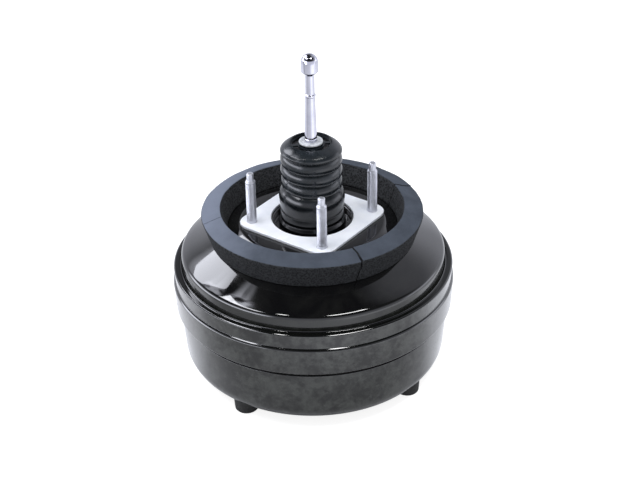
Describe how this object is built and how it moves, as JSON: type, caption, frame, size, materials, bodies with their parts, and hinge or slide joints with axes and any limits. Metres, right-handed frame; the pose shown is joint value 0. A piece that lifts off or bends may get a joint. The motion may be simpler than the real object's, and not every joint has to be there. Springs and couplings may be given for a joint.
{
  "type": "vacuum brake booster",
  "caption": "Tandem vacuum brake booster with stepped round shells, foam seal, square bulkhead studs, dust boot and a ball-ended pedal push rod.",
  "frame": {"origin": "on the booster's axis, at the height of the lower faces of its four feet", "axes": "+Z along the axis from the master-cylinder side to the pedal side; X and Y along the sides of the square of mounting studs"},
  "size_m": [0.2846, 0.2846, 0.341],
  "materials": {
    "black_paint": "gloss black paint over pressed steel",
    "zinc_plate": "bright zinc plating",
    "stud_zinc": "zinc-plated thread steel",
    "rod_chrome": "bright plated steel",
    "washer_grey": "light grey moulded washer",
    "foam": "closed-cell charcoal foam",
    "boot_rubber": "satin black rubber",
    "seal_rubber": "black seal rubber",
    "valve_resin": "moulded black resin",
    "plate_steel": "yellow-passivated plate steel",
    "spring_steel": "oiled spring wire",
    "filter_felt": "grey filter felt",
    "nylon_black": "black nylon"
  },
  "bodies": {
    "housing": {"front_shell": "black_paint", "rear_shell": "black_paint", "support_feet": "seal_rubber", "mounting_plate": "zinc_plate", "mounting_studs": "stud_zinc", "foam_seal": "foam", "centre_plate": "plate_steel", "centre_seal": "seal_rubber", "bearing_seal": "seal_rubber", "bearing_retainer": "zinc_plate", "dust_boot": "boot_rubber", "return_spring": "spring_steel", "cylinder_stud_plate": "plate_steel", "cylinder_studs": "stud_zinc", "cylinder_seal": "seal_rubber", "valve_grommet": "seal_rubber", "check_valve_cap": "nylon_black", "check_valve_body": "nylon_black", "check_valve_spring": "spring_steel"},
    "power_piston": {"valve_body": "valve_resin", "rear_diaphragm": "seal_rubber", "rear_diaphragm_plate": "plate_steel", "front_diaphragm": "seal_rubber", "front_diaphragm_plate": "plate_steel", "front_plate_retainer": "nylon_black", "rear_plate_retainer": "nylon_black", "plunger_key": "zinc_plate", "poppet_valve": "seal_rubber", "poppet_retainer": "zinc_plate", "poppet_spring": "spring_steel", "rod_return_spring": "spring_steel", "air_filter": "filter_felt", "silencer": "filter_felt", "reaction_disc": "seal_rubber", "output_rod": "zinc_plate", "output_rod_tip": "zinc_plate"},
    "valve_plunger": {"valve_plunger": "nylon_black"},
    "input_rod": {"input_rod": "rod_chrome", "rod_washer": "washer_grey"},
    "check_valve_disc": {"check_valve_disc": "seal_rubber"}
  },
  "joints": [
    {"name": "piston_stroke", "type": "slide", "parent": "housing", "child": "power_piston", "axis": [0, 0, -1], "range_m": [0, 0.036], "stiffness_N_per_m": 4000, "springref_m": -0.04, "deforming": ["dust_boot", "return_spring", "rear_diaphragm", "front_diaphragm"]},
    {"name": "valve_slide", "type": "slide", "parent": "power_piston", "child": "valve_plunger", "axis": [0, 0, -1], "range_m": [0, 0.0015], "stiffness_N_per_m": 5000, "springref_m": -0.012, "deforming": ["poppet_valve", "poppet_spring", "rod_return_spring"]},
    {"name": "rod_tilt", "type": "hinge", "parent": "valve_plunger", "child": "input_rod", "pos_m": [0, 0, 0.15], "axis": [1, 0, 0], "range_deg": [-3, 3], "stiffness_Nm_per_rad": 4},
    {"name": "check_valve_lift", "type": "slide", "parent": "housing", "child": "check_valve_disc", "axis": [0, 0, -1], "range_m": [0, 0.0015], "stiffness_N_per_m": 200, "springref_m": -0.002, "deforming": ["check_valve_spring"]}
  ]
}
